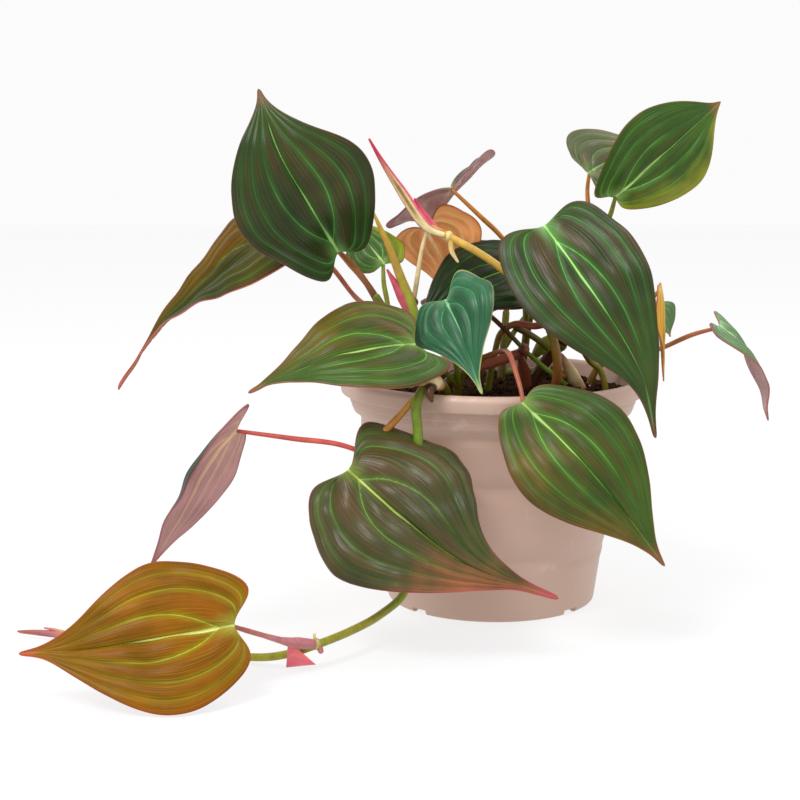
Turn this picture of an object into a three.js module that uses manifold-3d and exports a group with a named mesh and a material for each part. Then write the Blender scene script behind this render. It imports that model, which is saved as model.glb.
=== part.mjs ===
// A potted velvet leaf philodendron: a small trailing aroid with heart-shaped leaves, in a plastic
// nursery pot. Units are millimetres, +Z is up and the front faces -Y. The origin is the middle of
// the pot's underside, on the surface that the pot stands on.

import * as THREE from 'three';
import { mergeVertices } from 'three/addons/utils/BufferGeometryUtils.js';
import Module from 'manifold-3d';

const wasm = await Module();
wasm.setup();

// Driving dimensions
const potHeight = 89;
const rimRadius = 60;
const rimHeight = 6.5;
const footRadius = 41;
const wallThickness = 1.8;
const floorTop = 4.4;
const soilLevel = 82.5;
const bladeThickness = 0.8;
const gap = 0.35;

const plant = new THREE.Group();

const finishes = {
  taupePlastic: { color: '#b2988a', roughness: 0.5 },
  pottingSoil: { color: '#33241b', roughness: 1 },
  matureLeaf: { color: '#34432c', roughness: 0.55 },
  freshLeaf: { color: '#3f7034', roughness: 0.5 },
  bronzeLeaf: { color: '#94641f', roughness: 0.5 },
  youngLeaf: { color: '#c97f3f', roughness: 0.5 },
  mauveLeaf: { color: '#a1767a', roughness: 0.6 },
  oliveStem: { color: '#8d7a2f', roughness: 0.5 },
};

function addPart(name, geometry, finish) {
  const faceted = geometry.toNonIndexed();
  faceted.computeVertexNormals();
  const material = new THREE.MeshStandardMaterial({ ...finishes[finish], metalness: 0 });
  const mesh = new THREE.Mesh(faceted, material);
  mesh.name = name;
  plant.add(mesh);
}

function buffer(positions, index) {
  const geometry = new THREE.BufferGeometry();
  geometry.setAttribute('position', new THREE.Float32BufferAttribute(positions, 3));
  geometry.setIndex(index);
  return geometry;
}

// Joining and cutting of closed solids
const weldDistance = 1e-3;
const smallestEdge = 0.02;

function toSolid(geometry) {
  const bare = geometry.clone();
  bare.deleteAttribute('normal');
  bare.deleteAttribute('uv');
  const merged = mergeVertices(bare, weldDistance);
  const vertProperties = new Float32Array(merged.attributes.position.array);
  const triVerts = new Uint32Array(merged.index.array);
  return new wasm.Manifold(new wasm.Mesh({ numProp: 3, vertProperties, triVerts }));
}

function toGeometry(solid) {
  const pieces = solid.simplify(smallestEdge).decompose();
  const largest = pieces.reduce((a, b) => (b.volume() > a.volume() ? b : a));
  const mesh = largest.getMesh();
  return buffer(Array.from(mesh.vertProperties), Array.from(mesh.triVerts));
}

function joined(solids) {
  return solids.reduce((whole, solid) => whole.add(solid));
}

// A heart-shaped blade, first as a flat outline. u runs from the petiole (0) to the drip tip (1)
// and v from the left margin (-1) to the right margin (1). Every line of one v starts at the
// petiole and ends at the tip, as the veins of this leaf do.
const lobeSpread = 0.045;
const outlineRise = 0.52;
const dripTipShare = 0.026;

function outlineWidth(leaf, u) {
  return u ** outlineRise * Math.max(1 - u ** leaf.full, 0) ** leaf.drip;
}

// The finger at the tip: a narrow strip that is added to the outline and has a round end
function fingerWidth(leaf, u) {
  return dripTipShare * leaf.width * u ** 4 * Math.sqrt(Math.max(1 - u ** 24, 0));
}

function widestPlace(leaf) {
  return (outlineRise / (outlineRise + leaf.full * leaf.drip)) ** (1 / leaf.full);
}

function flatBlade(leaf, length, u, v) {
  const side = v < 0 ? 0 : 1;
  const body = (leaf.width / 2) * outlineWidth(leaf, u) / outlineWidth(leaf, widestPlace(leaf));
  const half = leaf.wide[side] * (body + fingerWidth(leaf, u));
  const lobe = leaf.lobe[side];
  const sink = (lobe + lobeSpread) * (u / lobeSpread) * Math.exp(1 - u / lobeSpread);
  return { x: v * half, y: length * (u - sink * v * v) };
}

// The flat blade is laid along its midrib and bent across it. Each half rises from the midrib by
// one angle and then curls down towards its margin by another.
const radians = THREE.MathUtils.degToRad;
const lerp = THREE.MathUtils.lerp;

function smoothCurve(points) {
  return new THREE.CatmullRomCurve3(points.map((p) => new THREE.Vector3(...p)), false, 'catmullrom');
}

function bladeSurface(leaf) {
  const spine = smoothCurve(leaf.spine);
  const length = spine.getLength();
  const face = new THREE.Vector3(...leaf.face).normalize();

  function place(x, y) {
    const t = THREE.MathUtils.clamp(y / length, 0, 1);
    const along = spine.getTangent(t);
    const up = face.clone().addScaledVector(along, -face.dot(along)).normalize();
    up.applyAxisAngle(along, radians(lerp(leaf.roll[0], leaf.roll[1], t)));
    const across = new THREE.Vector3().crossVectors(along, up);
    const reach = Math.abs(x);
    const curl = radians(x < 0 ? leaf.curl[0] : leaf.curl[1]);
    const turn = (curl + 1e-4) / (leaf.width / 2);
    const start = radians(lerp(leaf.rise[0], leaf.rise[1], t));
    const end = start - turn * reach;
    const sideways = (Math.sin(start) - Math.sin(end)) / turn;
    const lift = (Math.cos(end) - Math.cos(start)) / turn;
    const swing = Math.sin(leaf.waves * Math.PI * 2 * t + Math.sign(x));
    const wave = leaf.wave * swing * (reach / leaf.width * 2) ** 2;
    return spine.getPoint(t)
      .addScaledVector(along, y - t * length)
      .addScaledVector(across, Math.sign(x) * sideways)
      .addScaledVector(up, lift + wave);
  }

  const step = 0.2;
  function halfNormal(x, y, side) {
    const here = place(x, y);
    const dx = place(x + side * step, y).sub(here).multiplyScalar(side);
    const dy = place(x, y + step).sub(here);
    return dx.cross(dy).normalize();
  }
  function normal(x, y) {
    const onMidrib = Math.abs(x) < 1e-6;
    if (!onMidrib) return halfNormal(x, y, Math.sign(x));
    return halfNormal(x, y, 1).add(halfNormal(x, y, -1)).normalize();
  }
  return { place, normal, length };
}

// The blade as a closed shell of even thickness. Both faces are split into triangles alike, with
// more columns where a blade is folded along its midrib.
const bladeRows = 10;
const smallWidth = 25;
const foldedCurl = 65;

function bladeColumns(leaf) {
  if (Math.max(...leaf.curl) > foldedCurl) return 12;
  return leaf.width < smallWidth ? 6 : 8;
}

function bladeGeometry(leaf, thickness = bladeThickness) {
  const rows = bladeRows;
  const columns = bladeColumns(leaf);
  const surface = bladeSurface(leaf);
  const top = [];
  const bottom = [];
  for (let row = 0; row <= rows; row += 1) {
    for (let column = 0; column <= columns; column += 1) {
      const [u, v] = [(row / rows) ** 2, (column / columns) * 2 - 1];
      const { x, y } = flatBlade(leaf, surface.length, u, v);
      const middle = surface.place(x, y);
      const lift = surface.normal(x, y).multiplyScalar(thickness / 2);
      top.push(middle.clone().add(lift));
      bottom.push(middle.clone().sub(lift));
    }
  }
  const points = [...top, ...bottom];
  const under = top.length;
  const index = [];
  const at = (row, column) => row * (columns + 1) + column;
  for (let row = 0; row < rows; row += 1) {
    for (let column = 0; column < columns; column += 1) {
      const [a, b] = [at(row, column), at(row, column + 1)];
      const [c, d] = [at(row + 1, column + 1), at(row + 1, column)];
      if (row > 0) index.push(a, b, c, a + under, c + under, b + under);
      if (row < rows - 1) index.push(a, c, d, a + under, d + under, c + under);
    }
    const [left, nextLeft] = [at(row, 0), at(row + 1, 0)];
    const [right, nextRight] = [at(row, columns), at(row + 1, columns)];
    index.push(left, nextLeft, nextLeft + under, left, nextLeft + under, left + under);
    index.push(nextRight, right, right + under, nextRight, right + under, nextRight + under);
  }
  return mergeVertices(buffer(points.flatMap((p) => [p.x, p.y, p.z]), index), weldDistance);
}

// The leaves. The spine is the midrib from the petiole to the drip tip, and face is the way the
// upper face looks. Pairs give the left half and the right half, or the petiole end and the tip end.
// Wide and lobe widen a half and set its lobe back, full and drip shape the outline, and rise, curl,
// roll, wave and waves bend the blade.
const usual = {
  wide: [1, 1],
  lobe: [0.05, 0.05],
  full: 1.5,
  drip: 2.2,
  rise: [12, 20],
  curl: [30, 30],
  roll: [0, 0],
  wave: 0.8,
  waves: 1.5,
};
const leaves = [
  { name: 'upper_left_large', finish: 'matureLeaf', width: 53, lobe: [0.1, 0.03],
    full: 2.6, face: [-0.1, -0.95, 0.2],
    spine: [[-59, -32, 139], [-69, -45, 157], [-80, -49, 177], [-87, -42, 198]] },
  { name: 'far_left_bronze', finish: 'bronzeLeaf', width: 62, wide: [1, 1.45], lobe: [0.04, 0.04], full: 1.2,
    drip: 4, rise: [12, 36], curl: [45, 15], face: [-0.85, -0.2, 0.5],
    spine: [[-78.5, -4.5, 143.5], [-94.5, -6.5, 135.5], [-110.5, -2.5, 122.5], 
      [-129, 3.5, 108], [-139.5, 7.5, 95.5], [-149.5, 11.5, 81]] },
  { name: 'left_small_green', finish: 'freshLeaf', width: 25,
    lobe: [0.03, 0.1], face: [0.1, -0.8, 0.6],
    spine: [[-42.5, -12, 133], [-49.5, -5, 141], [-58, 0, 152]] },
  { name: 'centre_purple', finish: 'mauveLeaf', width: 54, full: 2,
    rise: [20, 15], curl: [30, 10], face: [-0.52, 0.135, 0.84],
    spine: [[-16.5, -5, 161.5], [-19.5, 15, 155.5], [-25, 38, 145]] },
  { name: 'centre_orange', finish: 'youngLeaf', width: 40, lobe: [0, 0.15],
    rise: [28, 20], curl: [20, 20], face: [0.4, 0.9, 0.1],
    spine: [[-26.5, 2, 145.5], [-19.5, 9, 132], [-11, 16, 110]] },
  { name: 'centre_dark', finish: 'matureLeaf', width: 42, face: [-0.2, -0.7, 0.7],
    spine: [[12, -12, 133], [-12, -24, 125], [-34, -33, 109]] },
  { name: 'centre_teal', finish: 'freshLeaf', width: 37,
    lobe: [0.16, 0.06], face: [-0.45, -0.82, 0.3],
    spine: [[-19.5, -36, 122], [-14, -47, 110.5], [-7, -58, 90]] },
  { name: 'right_large', finish: 'matureLeaf', width: 49, lobe: [0.02, 0.03],
    full: 1, face: [0.05, -0.9, 0.35],
    spine: [[16, -40, 149], [35, -58, 122], [49, -62, 98], [55.5, -58, 74]] },
  { name: 'front_right', finish: 'matureLeaf', width: 46, lobe: [0, 0.02],
    full: 2.4, face: [-0.15, -0.85, 0.5],
    spine: [[7, -64, 87.5], [22, -79, 74.5], [39, -84, 55.5], [56, -82, 33]] },
  { name: 'front_large', finish: 'matureLeaf', width: 66, wide: [1.1, 0.93], lobe: [0.1, 0.05], full: 1.7,
    drip: 2.6, rise: [6, 20], curl: [62, 45], face: [-0.05, -0.9, 0.42],
    spine: [[-54.5, -72, 65], [-36, -84, 51], [-14, -90, 36], [18.5, -88, 23]] },
  { name: 'trailing_bronze', finish: 'bronzeLeaf', width: 52, lobe: [0.04, 0.09],
    full: 1.7, curl: [20, 30], face: [0, -0.87, 0.5],
    spine: [[-90.5, -121, 23.5], [-114, -127, 21], [-137, -129, 18], [-159.5, -127, 16]] },
  { name: 'left_mauve', finish: 'mauveLeaf', width: 28, wide: [0.95, 0.82], lobe: [0.15, 0], full: 2.5,
    drip: 1.9, rise: [0, 0], curl: [100, 10], wave: 0.2, face: [-0.5, 0.85, 0.1],
    spine: [[-94.5, -60, 77.5], [-104.5, -62.5, 66], [-113.5, -62, 49], [-127.5, -60, 26]] },
  { name: 'upper_right_green', finish: 'freshLeaf', width: 38, lobe: [0.08, 0], full: 3,
    drip: 1.8, rise: [10, 10], curl: [20, 20], face: [0.25, -0.94, -0.1],
    spine: [[46, -5, 158.5], [58, -10, 170], [71.5, -12, 182.5], [85.5, -5, 194.5]] },
  { name: 'upper_right_back', finish: 'matureLeaf', width: 40,
    lobe: [0.02, 0.05], face: [0, -0.75, 0.6],
    spine: [[38, 15, 167], [50, 20, 173], [72, 27, 178]] },
  { name: 'right_small', finish: 'freshLeaf', width: 24, lobe: [0.1, 0.1],
    roll: [0, -70], face: [0.6, -0.45, 0.6],
    spine: [[90, 5, 107.5], [100, 5, 98], [107, 5, 84], [110.5, 5, 69.5]] },
  { name: 'right_yellow', finish: 'youngLeaf', width: 20, face: [0.92, -0.3, 0.2],
    spine: [[63.5, -6, 123], [65, -6, 105], [66.5, -6, 87]] },
  { name: 'right_pale', finish: 'freshLeaf', width: 17, face: [0.2, -0.9, 0.2],
    spine: [[68, 31, 111], [72, 31, 106], [75, 31, 100]] },
  { name: 'middle_left', finish: 'freshLeaf', width: 49, wide: [0.85, 1.05],
    lobe: [0.14, 0.05], full: 1.3, face: [0.1, -0.6, 0.75],
    spine: [[-31, -50, 106.5], [-51, -58, 105.5], [-72, -60, 99], [-91, -55, 90]] },
  { name: 'back_russet', finish: 'bronzeLeaf', width: 40, face: [0, 0.1, 1],
    spine: [[6, 28, 138], [2, 46, 134], [-4, 66, 118]] },
  { name: 'back_right', finish: 'matureLeaf', width: 44, face: [0.2, 0.8, 0.45],
    spine: [[38, 34, 132], [46, 52, 122], [50, 70, 98]] },
  { name: 'back_left', finish: 'matureLeaf', width: 38, face: [-0.1, 0.8, 0.5],
    spine: [[-8, 30, 118], [-10, 50, 108], [-12, 68, 86]] },
].map((leaf) => ({ ...usual, ...leaf }));

for (const leaf of leaves) {
  addPart(`leaf_${leaf.name}`, bladeGeometry(leaf), leaf.finish);
}

// A stem, petiole or sheath: a closed tube along a smooth route, its radius running evenly through
// a list. Its clearance is the same tube, thicker all round and longer at both ends.
const tubeStep = 10;

function tubeSolid({ route, radii, sides = 5 }, extra = 0) {
  const curve = smoothCurve(route);
  const segments = Math.max(3, Math.round(curve.getLength() / tubeStep), radii.length - 1);
  const frames = curve.computeFrenetFrames(segments, false);
  const positions = [];
  const index = [];
  for (let i = 0; i <= segments; i += 1) {
    const past = extra * ((i === segments ? 1 : 0) - (i === 0 ? 1 : 0));
    const middle = curve.getPointAt(i / segments).addScaledVector(frames.tangents[i], past);
    const place = (i / segments) * (radii.length - 1);
    const before = Math.min(Math.floor(place), radii.length - 2);
    const radius = lerp(radii[before], radii[before + 1], place - before) + extra;
    for (let side = 0; side < sides; side += 1) {
      const angle = (side / sides) * Math.PI * 2;
      const point = middle.clone()
        .addScaledVector(frames.normals[i], Math.cos(angle) * radius)
        .addScaledVector(frames.binormals[i], Math.sin(angle) * radius);
      positions.push(point.x, point.y, point.z);
    }
  }
  for (let i = 0; i < segments; i += 1) {
    for (let side = 0; side < sides; side += 1) {
      const [a, b] = [i * sides + side, i * sides + (side + 1) % sides];
      index.push(a, b, b + sides, a, b + sides, a + sides);
    }
  }
  const last = segments * sides;
  for (let side = 1; side < sides - 1; side += 1) {
    index.push(0, side + 1, side);
    index.push(last, last + side, last + side + 1);
  }
  return toSolid(buffer(positions, index));
}

// The end of a petiole, just behind the base of its blade
const petioleTip = 1.1;
const petioleGap = 0.55;

function petioleEnd(name) {
  const leaf = leaves.find((one) => one.name === name);
  const surface = bladeSurface(leaf);
  const behind = surface.normal(0, 0).multiplyScalar(-(bladeThickness / 2 + petioleGap + petioleTip));
  return surface.place(0, 0).add(behind).toArray();
}

const thinPetiole = [1.3, 0.9, petioleTip];
const stoutPetiole = [1.6, 1.3, petioleTip];

function petiole(name, route, radii = thinPetiole) {
  return { route: [...route, petioleEnd(name)], radii };
}

function stem(route, radii) {
  return { route, radii, sides: 6 };
}

function sheath(route, radii) {
  return { route, radii };
}

function knot([x, y, z], radius) {
  const side = radius * 0.9;
  const route = [[x - side, y, z], [x, y, z], [x + side, y, z]];
  return { route, radii: [radius / 2, radius, radius / 2] };
}

// The leafy stems, each with its petioles, the sheaths round its buds and its swollen nodes, grown
// together as one body
const stems = {
  // over the rim at the front left, down the pot and away along the surface
  stem_trailing: [
    stem([[-16, -30, 68], [-18, -37, 82], [-21, -46, 91.5], [-26, -56, 93.5], [-30.5, -60.5, 87],
      [-30, -61.5, 76], [-30, -61, 62], [-31, -59, 45], [-33, -55.5, 29], [-35, -56, 16], [-44, -68, 11],
      [-54, -82, 9.5], [-65, -94, 8.5], [-75, -95, 5.5], [-86, -91, 3], [-106, -84, 2.2], [-128, -75, 1.9],
      [-152, -66, 1.8], [-176, -59, 2.2]], [1.9, 1.9, 1.6, 1.5, 1.4, 1.3, 0.5]),
    petiole('front_large', [[-24, -54, 94], [-31, -58.5, 88.5], [-38.3, -59, 80.4], [-47, -62.5, 72]],
      stoutPetiole),
    petiole('left_mauve', [[-30, -61, 54], [-38, -61, 63], [-56, -61, 71.7], [-75, -61, 74.5]]),
    petiole('trailing_bronze', [[-65, -94, 8.7], [-74, -102, 12], [-83, -111, 17.5]]),
    sheath([[-21, -48, 91], [-25, -55, 94.5], [-30, -59, 95], [-33, -61, 93]], [1.6, 2.9, 2.6, 0.6]),
    sheath([[-24, -56, 92.5], [-26, -61.5, 92], [-25, -64, 88]], [1.2, 2.2, 0.5]),
    sheath([[-68, -94, 10.5], [-72, -93.5, 8], [-69.5, -93, 3.6]], [0.8, 1.8, 3]),
    knot([-65, -94, 8.7], 2.3),
    knot([-30, -61, 54], 2.2),
  ],
  // to the three leaves high on the left
  stem_left: [
    stem([[-24, -14, 66], [-26, -18, 84], [-33, -22, 100], [-40, -24, 113], [-46, -25.5, 123]],
      [2, 1.9, 1.7, 1.5]),
    petiole('upper_left_large', [[-44, -25, 119], [-49, -24.5, 127], [-54.5, -25.5, 134]], stoutPetiole),
    petiole('far_left_bronze', [[-43, -24, 114], [-53, -18, 120.8], [-61.5, -12, 130.8], [-70, -7.5, 139]]),
    petiole('left_small_green', [[-36, -22, 104], [-40, -17, 111], [-41.4, -14, 119.6],
      [-42.6, -12.8, 126]]),
    petiole('centre_orange', [[-28, -18.5, 88], [-31, -12, 103], [-31.3, -6.5, 116], [-29.8, -3.5, 126.5],
      [-28.3, -1, 136]]),
    sheath([[-30, -20, 94], [-31, -18, 106], [-31.6, -17, 116.5], [-36, -16, 128], [-40.2, -16, 139],
      [-46.5, -16, 153]], [1.5, 1.9, 2, 1.7, 1.3, 0.5]),
    sheath([[-31.5, -18.5, 110], [-35, -15.5, 120], [-41.4, -15, 131.5]], [1.2, 2.3, 0.4]),
    knot([-40, -24, 114], 2.3),
    knot([-31, -6, 118], 2),
  ],
  // across the middle to the rolled new leaf
  stem_centre: [
    stem([[22, -24, 68], [22, -28, 84], [22, -35, 99], [18, -37, 113], [10, -34, 125], [1, -29.5, 133],
      [-8, -26, 139], [-19, -22, 144.7], [-26, -22, 148]], [1.9, 1.7, 1.5, 1.4]),
    sheath([[-19, -22, 144.7], [-27, -22, 148.5], [-36.4, -22, 162], [-43, -22, 172], [-48, -22, 180.6]],
      [1.4, 2.1, 1.9, 1.1, 0.4]),
    sheath([[-22, -21, 146], [-27.5, -20.5, 152], [-31, -20, 158.5]], [1.2, 1.8, 0.4]),
    sheath([[-17, -22.5, 144], [-17, -23, 139], [-14.5, -23.5, 134.5]], [1.3, 1, 0.4]),
    knot([-18, -22, 144.5], 2),
  ],
  // behind the middle
  stem_middle: [
    stem([[11, 14, 68], [12, 13, 86], [14, 10, 104], [13.5, 8.5, 119]], [1.8, 1.7, 1.5]),
    petiole('centre_purple', [[14, 8.5, 116], [10.5, 8, 131], [3.6, 2, 142.2], [-6, -2, 151.5]]),
    petiole('centre_dark', [[14, 10, 102], [15.5, 4, 113], [14.5, -4, 124]]),
  ],
  // the crown of old stems in the pot, with the shoot to the two leaves high on the right
  stem_right: [
    stem([[14, 4, 68], [15.1, 3, 82], [21.2, 2, 94], [26.5, -2, 101], [31, -9, 109], [34, -7, 118],
      [37, -1, 130], [41, 1.5, 142]], [2.3, 2.4, 2, 1.6]),
    petiole('upper_right_green', [[40, 1, 138], [43, 0, 146], [45, -2.5, 152]]),
    petiole('upper_right_back', [[36, -3, 126], [38, 6, 138], [38.5, 13, 150], [38, 16.5, 160]]),
    petiole('right_large', [[-3, -5, 68], [-2, -6, 84], [0.3, -8, 98], [2.5, -10.5, 106.5],
      [8, -14.5, 110.5], [15.5, -21, 110.5], [22, -29, 115.5], [22, -35, 130]], stoutPetiole),
    petiole('back_left', [[30, 1, 74], [29, 0, 84], [20.2, -5, 92], [12.4, -9, 99.2], [6, -12, 106],
      [0.4, -12, 111.5], [-3, -5, 114], [-3.5, 8, 115.5], [-5, 20, 117]]),
    stem([[7, -13.5, 109.5], [12.9, -12.5, 106.5], [17.9, -9, 103], [22, -3, 99]], [1.3, 1.3]),
    sheath([[15, -1, 95], [20, -3, 101], [25, -4, 105.7]], [0.8, 3.2, 1]),
    sheath([[26, -2, 97.5], [30.5, 0, 90.6], [36, 4, 80]], [1, 2.6, 3]),
    sheath([[23, 0, 92], [27, 1, 89], [32, 2, 87.5]], [0.8, 1.8, 1.2]),
    stem([[31, -9, 108], [34.5, -6.5, 100], [38, -4.5, 94.5], [42, -4, 91], [44.2, -4, 83],
      [44.5, -4, 74]], [1.2, 1.3]),
    stem([[-20, -9, 70], [-20, -10, 82], [-15.5, -11.5, 89.5], [-7.4, -11, 92.8], [3.5, -8.5, 96],
      [12, -8, 99]], [2.2, 2]),
    sheath([[9.9, -7, 98], [12.4, -1, 91.4], [14.6, 3, 83]], [1, 2.2, 2]),
    knot([26.5, -2, 101], 3),
    knot([11.5, -9.5, 100], 2.6),
  ],
  // over the rim at the right
  stem_right_low: [
    stem([[38, 14, 70], [40, 13, 83], [44, 12, 91], [52, 12, 93.5]], [1.7, 1.5, 1.2]),
    petiole('right_small', [[49, 12, 93], [58, 13, 94], [68.8, 14, 97.6], [80, 10, 103.4]]),
    petiole('right_yellow', [[44, 12, 91], [51, 7, 102], [58, 0, 113]]),
    petiole('right_pale', [[47, 12, 92.3], [56, 20, 99], [63, 26.5, 106]]),
  ],
  // at the front, to the leaf that hangs over the rim and the two above it
  stem_front: [
    stem([[-15, -26, 70], [-15, -27, 84], [-13, -28.5, 93], [-6.3, -32, 100.5]], [1.9, 1.7, 1.2]),
    petiole('front_right', [[-9, -31, 98], [-1.2, -36.5, 102.1], [2, -42, 103.6], [3.4, -50, 103],
      [5, -57, 98], [6.6, -61.5, 92]]),
    petiole('centre_teal', [[-14.5, -27.5, 88], [-15.5, -35, 97], [-18, -41.5, 107.5],
      [-19.5, -38.5, 115.5]]),
    petiole('middle_left', [[-14.5, -27.5, 88], [-20, -36, 95.5], [-26, -43, 102]]),
    knot([-9, -31, 98], 1.9),
  ],
  // at the back, to the two leaves that the others hide
  stem_back: [
    stem([[4, 22, 68], [5, 23, 84], [6, 25, 98], [7, 26.5, 112]], [1.9, 1.7, 1.4]),
    petiole('back_russet', [[6.5, 26, 106], [7.5, 26.5, 118], [7, 26.5, 130]]),
    petiole('back_right', [[6, 25, 96], [14, 27, 108], [26, 30, 121]]),
    stem([[5, 23, 86], [15, 27, 86.5], [27, 32, 84.5], [30, 33, 74]], [1.5, 1.4]),
  ],
};

// Room round the blades, which the stems are kept out of, with some more for the flat facets of a
// curled blade
const facetRoom = 0.7;
const clearThickness = bladeThickness + 2 * gap + facetRoom;
const clearWidth = 2;
const bladeClearance = joined(leaves.map((leaf) => {
  const wider = { ...leaf, width: leaf.width + clearWidth };
  return toSolid(bladeGeometry(wider, clearThickness));
}));
for (const [name, shoots] of Object.entries(stems)) {
  const grown = joined(shoots.map((shoot) => tubeSolid(shoot)));
  addPart(name, toGeometry(grown.subtract(bladeClearance)), 'oliveStem');
}

// The pot: a lathe-turned wall with a folded rim, a floor raised off the surface, a foot ring that
// drains through four notches, and a flat disc that the pot also rests on
const potSegments = 48;
const channelTop = 2.4;
const discRadius = 12;

function potSolid() {
  const t = wallThickness;
  const rimLow = potHeight - rimHeight;
  const profile = [
    [0, 0], [discRadius, 0], [discRadius + 1, channelTop], [footRadius - 3.6, channelTop],
    [footRadius - 2.6, 0], [footRadius - 1.2, 0], [footRadius, 0.8], [footRadius + 0.6, channelTop],
    [43.9, 20.4], [44.9, 25.2], [48.2, 50], [49.4, 55],
    [51.7, 69], [52.4, 71], [54.2, 72.8], [55.4, 75.4], [56, rimLow],
    [rimRadius - 1, rimLow], [rimRadius - 0.4, rimLow + 0.6],
    [rimRadius, potHeight - 2.4], [rimRadius - 0.7, potHeight - 0.7], [rimRadius - 2.2, potHeight],
    [rimRadius - 3.6, potHeight - 0.6], [rimRadius - 4.4, potHeight - 2.2],
    [55.4 - t, 76], [51.7 - t, 68], [footRadius + 1.4 - t, 6.4], [footRadius - t - 1, floorTop],
    [0, floorTop],
  ].map(([r, z]) => new THREE.Vector2(r, z));
  return toSolid(new THREE.LatheGeometry(profile, potSegments).rotateX(Math.PI / 2));
}

const notchWidth = 7;
const notchDepth = 8;
const notchHeight = 2;

function notchSolid(angle) {
  const block = new THREE.BoxGeometry(notchDepth, notchWidth, notchHeight * 2);
  block.translate(footRadius, 0, 0);
  block.rotateZ(angle);
  return toSolid(block);
}

const quarterTurns = [0.25, 0.75, 1.25, 1.75];
const notches = joined(quarterTurns.map((turn) => notchSolid(turn * Math.PI)));
addPart('pot', toGeometry(potSolid().subtract(notches)), 'taupePlastic');

// The soil fills the pot to just under the rim. Its top is crumbly, and the stems stand in holes in
// it.
const soilRadius = 53;
const soilRings = 5;
const soilSegments = 24;

function soilSolid() {
  const inside = wallThickness + gap;
  const low = floorTop + gap;
  const profile = [[0, low], [footRadius + 0.2 - inside, low + 2.2], [51.4 - inside, 68]];
  for (let ring = soilRings; ring >= 0; ring -= 1) {
    profile.push([soilRadius * (ring / soilRings), soilLevel]);
  }
  const points = profile.map(([r, z]) => new THREE.Vector2(r, z));
  const geometry = new THREE.LatheGeometry(points, soilSegments);
  geometry.rotateX(Math.PI / 2);
  const position = geometry.attributes.position;
  for (let i = 0; i < position.count; i += 1) {
    const [x, y, z] = [position.getX(i), position.getY(i), position.getZ(i)];
    if (z < soilLevel - 1) continue;
    const lumps = Math.sin(x * 0.21 + 1) * Math.cos(y * 0.26) + 0.7 * Math.sin(x * 0.47 - y * 0.39);
    position.setZ(i, soilLevel + lumps);
  }
  return toSolid(geometry);
}

const holeGap = gap + 0.2;
const holes = joined(Object.values(stems).flat().map((shoot) => tubeSolid(shoot, holeGap)));
addPart('potting_soil', toGeometry(soilSolid().subtract(holes)), 'pottingSoil');

export default plant;
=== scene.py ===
"""A potted velvet leaf philodendron: heart-shaped velvety leaves on trailing stems, in a nursery pot."""

import math
import random

import bmesh
import bpy
from mathutils import Matrix, Quaternion, Vector, noise


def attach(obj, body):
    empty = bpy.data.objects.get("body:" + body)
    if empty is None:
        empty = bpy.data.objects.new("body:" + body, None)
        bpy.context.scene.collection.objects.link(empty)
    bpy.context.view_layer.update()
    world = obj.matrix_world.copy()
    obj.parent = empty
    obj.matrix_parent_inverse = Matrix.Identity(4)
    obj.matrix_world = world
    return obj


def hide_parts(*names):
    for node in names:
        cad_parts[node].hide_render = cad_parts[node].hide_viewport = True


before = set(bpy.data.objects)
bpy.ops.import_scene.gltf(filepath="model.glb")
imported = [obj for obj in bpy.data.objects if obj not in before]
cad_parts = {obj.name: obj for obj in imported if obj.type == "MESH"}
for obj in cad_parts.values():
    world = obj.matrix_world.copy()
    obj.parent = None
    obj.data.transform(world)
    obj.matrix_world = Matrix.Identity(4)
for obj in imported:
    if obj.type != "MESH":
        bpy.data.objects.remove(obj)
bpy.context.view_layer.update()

# The studio
# A light table of opal acrylic, lit from below so that shadows on it stay faint, in an even white
# surround with two soft lamps. The camera stands level with the upper leaves and looks slightly down.
mm = 0.001
camera_place = (-36.4 * mm, -624 * mm, 178.3 * mm)
camera_down = 9.07
camera_lens = 72
sweep_size = 3.0
lamp_target = (0, 0, 0.1)


def linear(hex_colour):
    channels = [int(hex_colour[place:place + 2], 16) / 255 for place in (1, 3, 5)]
    return [c / 12.92 if c <= 0.04045 else ((c + 0.055) / 1.055) ** 2.4 for c in channels] + [1]


def new_material(name):
    material = bpy.data.materials.new(name)
    material.use_nodes = True
    return material, material.node_tree, material.node_tree.nodes["Principled BSDF"]


def new_object(name, bm, materials):
    mesh = bpy.data.meshes.new(name)
    bm.to_mesh(mesh)
    bm.free()
    mesh.shade_smooth()
    for material in materials:
        mesh.materials.append(material)
    made = bpy.data.objects.new(name, mesh)
    bpy.context.scene.collection.objects.link(made)
    return made


camera = bpy.data.objects.new("camera", bpy.data.cameras.new("camera"))
camera.data.lens = camera_lens
camera.location = camera_place
camera.rotation_euler = (math.radians(90 - camera_down), 0, 0)
bpy.context.scene.collection.objects.link(camera)
bpy.context.scene.camera = camera
bpy.context.scene.view_settings.view_transform = "Standard"

acrylic, _, acrylic_skin = new_material("opal_acrylic_light_table")
acrylic_skin.inputs["Base Color"].default_value = linear("#767676")
acrylic_skin.inputs["Roughness"].default_value = 1
acrylic_skin.inputs["Specular IOR Level"].default_value = 0
acrylic_skin.inputs["Emission Color"].default_value = (1, 1, 1, 1)
acrylic_skin.inputs["Emission Strength"].default_value = 0.77
bm = bmesh.new()
bmesh.ops.create_grid(bm, x_segments=1, y_segments=1, size=sweep_size)
sweep = new_object("sweep", bm, [acrylic])

world = bpy.data.worlds.new("studio")
world.use_nodes = True
world.node_tree.nodes["Background"].inputs["Color"].default_value = (1, 1, 1, 1)
world.node_tree.nodes["Background"].inputs["Strength"].default_value = 0.97
bpy.context.scene.world = world


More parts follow.
